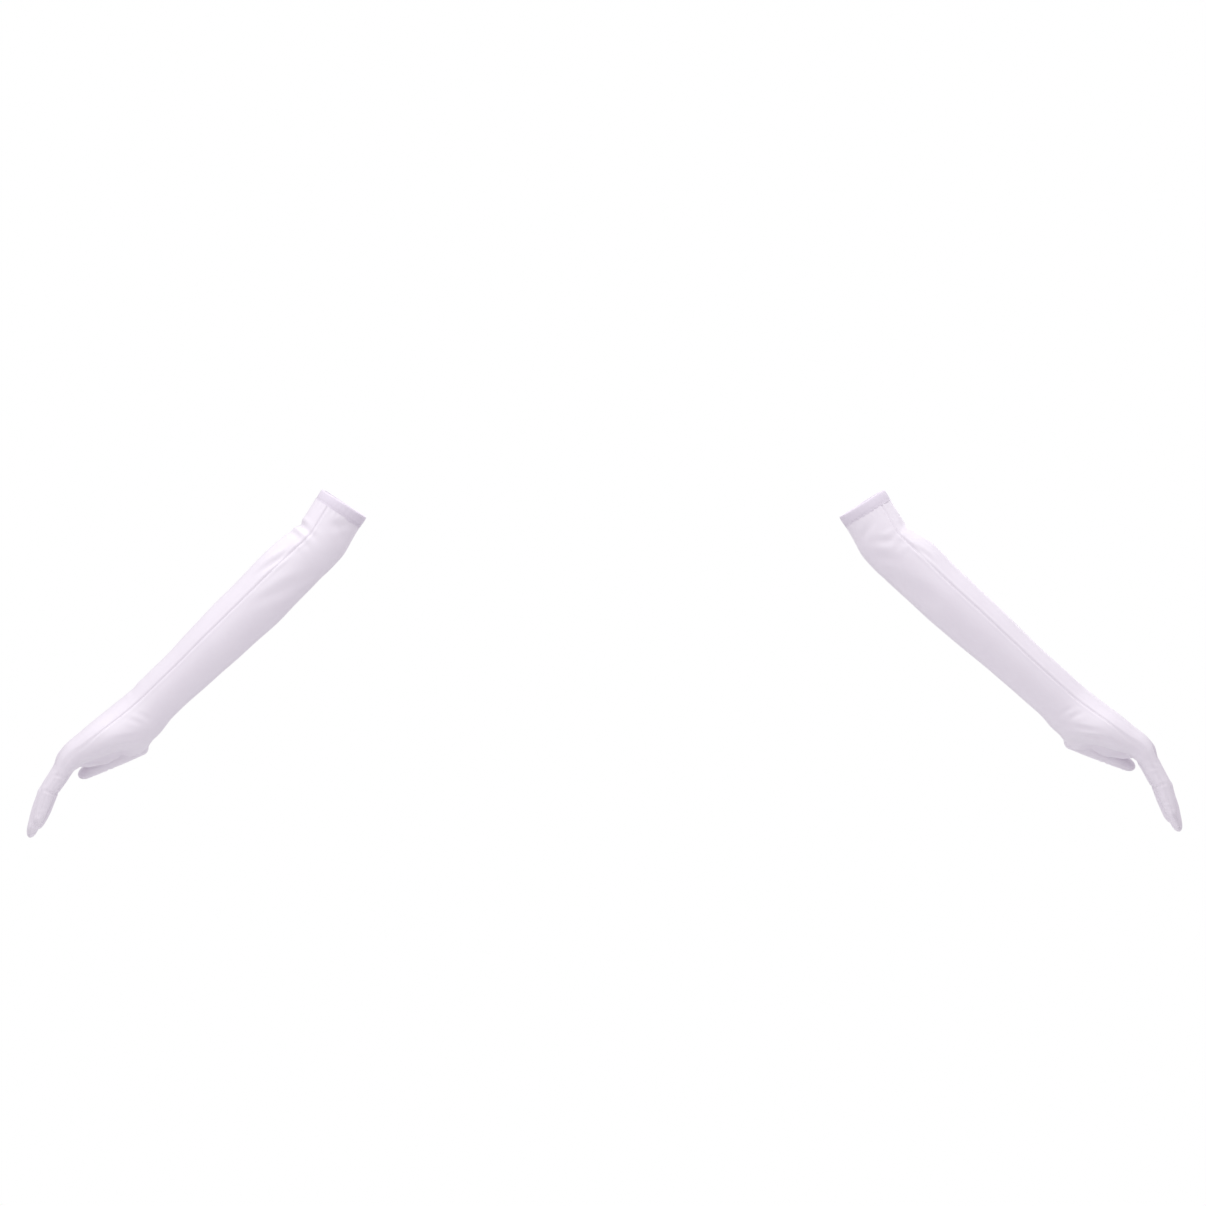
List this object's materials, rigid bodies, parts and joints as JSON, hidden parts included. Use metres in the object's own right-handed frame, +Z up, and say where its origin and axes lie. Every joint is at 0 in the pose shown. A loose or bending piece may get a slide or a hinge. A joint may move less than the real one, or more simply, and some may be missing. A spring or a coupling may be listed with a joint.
{
  "type": "pair of opera gloves",
  "caption": "Long stretch-satin gloves that cover the arm from just above the elbow to the fingertips, with an elasticated turned hem and closed fingers.",
  "frame": {"origin": "on the wearer's centre plane, midway between the centres of the two arm openings, which both lie in the plane z = 0", "axes": "+Z up, +X to the right of someone who looks at the wearer's back, +Y towards the wearer's front. The left glove hangs on the -X side and the right glove on the +X side"},
  "size_m": [1.2409, 0.0882, 0.3761],
  "materials": {
    "satin": "white stretch satin with a faint lavender cast and a soft sheen",
    "hem_satin": "the same satin turned double over elastic, slightly duller",
    "elastic": "ribbed white elastic band, matte"
  },
  "bodies": {
    "left_sleeve": {"left_hem_casing": "hem_satin", "left_hem_elastic": "elastic", "left_sleeve_back": "satin", "left_sleeve_palm": "satin"},
    "left_forearm": {"left_forearm_back": "satin", "left_forearm_palm": "satin"},
    "left_hand": {"left_hand_back": "satin", "left_hand_palm": "satin"},
    "left_thumb_base": {"left_thumb_base_back": "satin", "left_thumb_base_palm": "satin"},
    "left_thumb_tip": {"left_thumb_tip_back": "satin", "left_thumb_tip_palm": "satin"},
    "left_index_base": {"left_index_base_back": "satin", "left_index_base_palm": "satin"},
    "left_index_tip": {"left_index_tip_back": "satin", "left_index_tip_palm": "satin"},
    "left_middle_base": {"left_middle_base_back": "satin", "left_middle_base_palm": "satin"},
    "left_middle_tip": {"left_middle_tip_back": "satin", "left_middle_tip_palm": "satin"},
    "left_ring_base": {"left_ring_base_back": "satin", "left_ring_base_palm": "satin"},
    "left_ring_tip": {"left_ring_tip_back": "satin", "left_ring_tip_palm": "satin"},
    "left_little_base": {"left_little_base_back": "satin", "left_little_base_palm": "satin"},
    "left_little_tip": {"left_little_tip_back": "satin", "left_little_tip_palm": "satin"},
    "right_sleeve": {"right_hem_casing": "hem_satin", "right_hem_elastic": "elastic", "right_sleeve_back": "satin", "right_sleeve_palm": "satin"},
    "right_forearm": {"right_forearm_back": "satin", "right_forearm_palm": "satin"},
    "right_hand": {"right_hand_back": "satin", "right_hand_palm": "satin"},
    "right_thumb_base": {"right_thumb_base_back": "satin", "right_thumb_base_palm": "satin"},
    "right_thumb_tip": {"right_thumb_tip_back": "satin", "right_thumb_tip_palm": "satin"},
    "right_index_base": {"right_index_base_back": "satin", "right_index_base_palm": "satin"},
    "right_index_tip": {"right_index_tip_back": "satin", "right_index_tip_palm": "satin"},
    "right_middle_base": {"right_middle_base_back": "satin", "right_middle_base_palm": "satin"},
    "right_middle_tip": {"right_middle_tip_back": "satin", "right_middle_tip_palm": "satin"},
    "right_ring_base": {"right_ring_base_back": "satin", "right_ring_base_palm": "satin"},
    "right_ring_tip": {"right_ring_tip_back": "satin", "right_ring_tip_palm": "satin"},
    "right_little_base": {"right_little_base_back": "satin", "right_little_base_palm": "satin"},
    "right_little_tip": {"right_little_tip_back": "satin", "right_little_tip_palm": "satin"}
  },
  "joints": [
    {"name": "left_elbow", "type": "hinge", "parent": "left_sleeve", "child": "left_forearm", "pos_m": [-0.30423, 0, -0.04193], "axis": [0.7716, 0, -0.6361], "range_deg": [0, 90]},
    {"name": "left_wrist", "type": "hinge", "parent": "left_forearm", "child": "left_hand", "pos_m": [-0.4927, 0, -0.22393], "axis": [0, -1, 0], "range_deg": [-45, 60]},
    {"name": "left_thumb_root", "type": "hinge", "parent": "left_hand", "child": "left_thumb_base", "pos_m": [-0.50179, 0.025, -0.26289], "axis": [0.133, -0.683, -0.7182], "range_deg": [0, 40]},
    {"name": "left_thumb_knuckle", "type": "hinge", "parent": "left_thumb_base", "child": "left_thumb_tip", "pos_m": [-0.53855, 0.03587, -0.28003], "axis": [-0.483, -0.4385, 0.7579], "range_deg": [-10, 55]},
    {"name": "left_index_root", "type": "hinge", "parent": "left_hand", "child": "left_index_base", "pos_m": [-0.57795, 0.0269, -0.28714], "axis": [0, -1, 0], "range_deg": [-15, 60]},
    {"name": "left_index_knuckle", "type": "hinge", "parent": "left_index_base", "child": "left_index_tip", "pos_m": [-0.5932, 0.0269, -0.31062], "axis": [0, -1, 0], "range_deg": [-13, 70]},
    {"name": "left_middle_root", "type": "hinge", "parent": "left_hand", "child": "left_middle_base", "pos_m": [-0.58055, 0.00805, -0.29022], "axis": [0, -1, 0], "range_deg": [-15, 60]},
    {"name": "left_middle_knuckle", "type": "hinge", "parent": "left_middle_base", "child": "left_middle_tip", "pos_m": [-0.59689, 0.00805, -0.31538], "axis": [0, -1, 0], "range_deg": [-13, 70]},
    {"name": "left_ring_root", "type": "hinge", "parent": "left_hand", "child": "left_ring_base", "pos_m": [-0.57766, -0.01055, -0.28852], "axis": [0, -1, 0], "range_deg": [-15, 60]},
    {"name": "left_ring_knuckle", "type": "hinge", "parent": "left_ring_base", "child": "left_ring_tip", "pos_m": [-0.59345, -0.01055, -0.31284], "axis": [0, -1, 0], "range_deg": [-13, 70]},
    {"name": "left_little_root", "type": "hinge", "parent": "left_hand", "child": "left_little_base", "pos_m": [-0.57255, -0.0279, -0.28707], "axis": [0, -1, 0], "range_deg": [-15, 60]},
    {"name": "left_little_knuckle", "type": "hinge", "parent": "left_little_base", "child": "left_little_tip", "pos_m": [-0.58616, -0.0279, -0.30804], "axis": [0, -1, 0], "range_deg": [-13, 70]},
    {"name": "right_pull_off", "type": "slide", "parent": "left_sleeve", "child": "right_sleeve", "axis": [0.5299, 0, -0.848], "range_m": [0, 0.15]},
    {"name": "right_elbow", "type": "hinge", "parent": "right_sleeve", "child": "right_forearm", "pos_m": [0.3035, 0, -0.0424], "axis": [0.766, 0, 0.6428], "range_deg": [0, 90]},
    {"name": "right_wrist", "type": "hinge", "parent": "right_forearm", "child": "right_hand", "pos_m": [0.4982, 0, -0.21771], "axis": [0, 1, 0], "range_deg": [-45, 60]},
    {"name": "right_thumb_root", "type": "hinge", "parent": "right_hand", "child": "right_thumb_base", "pos_m": [0.50864, 0.025, -0.25633], "axis": [0.1078, 0.683, 0.7224], "range_deg": [0, 40]},
    {"name": "right_thumb_knuckle", "type": "hinge", "parent": "right_thumb_base", "child": "right_thumb_tip", "pos_m": [0.54598, 0.03587, -0.27218], "axis": [-0.4563, 0.4385, -0.7743], "range_deg": [-10, 55]},
    {"name": "right_index_root", "type": "hinge", "parent": "right_hand", "child": "right_index_base", "pos_m": [0.58372, 0.0269, -0.27903], "axis": [0, 1, 0], "range_deg": [-15, 60]},
    {"name": "right_index_knuckle", "type": "hinge", "parent": "right_index_base", "child": "right_index_tip", "pos_m": [0.59729, 0.0269, -0.30352], "axis": [0, 1, 0], "range_deg": [-13, 70]},
    {"name": "right_middle_root", "type": "hinge", "parent": "right_hand", "child": "right_middle_base", "pos_m": [0.58609, 0.00805, -0.28228], "axis": [0, 1, 0], "range_deg": [-15, 60]},
    {"name": "right_middle_knuckle", "type": "hinge", "parent": "right_middle_base", "child": "right_middle_tip", "pos_m": [0.60064, 0.00805, -0.30852], "axis": [0, 1, 0], "range_deg": [-13, 70]},
    {"name": "right_ring_root", "type": "hinge", "parent": "right_hand", "child": "right_ring_base", "pos_m": [0.58333, -0.01055, -0.28039], "axis": [0, 1, 0], "range_deg": [-15, 60]},
    {"name": "right_ring_knuckle", "type": "hinge", "parent": "right_ring_base", "child": "right_ring_tip", "pos_m": [0.59739, -0.01055, -0.30575], "axis": [0, 1, 0], "range_deg": [-13, 70]},
    {"name": "right_little_root", "type": "hinge", "parent": "right_hand", "child": "right_little_base", "pos_m": [0.57833, -0.0279, -0.27858], "axis": [0, 1, 0], "range_deg": [-15, 60]},
    {"name": "right_little_knuckle", "type": "hinge", "parent": "right_little_base", "child": "right_little_tip", "pos_m": [0.59045, -0.0279, -0.30045], "axis": [0, 1, 0], "range_deg": [-13, 70]}
  ]
}
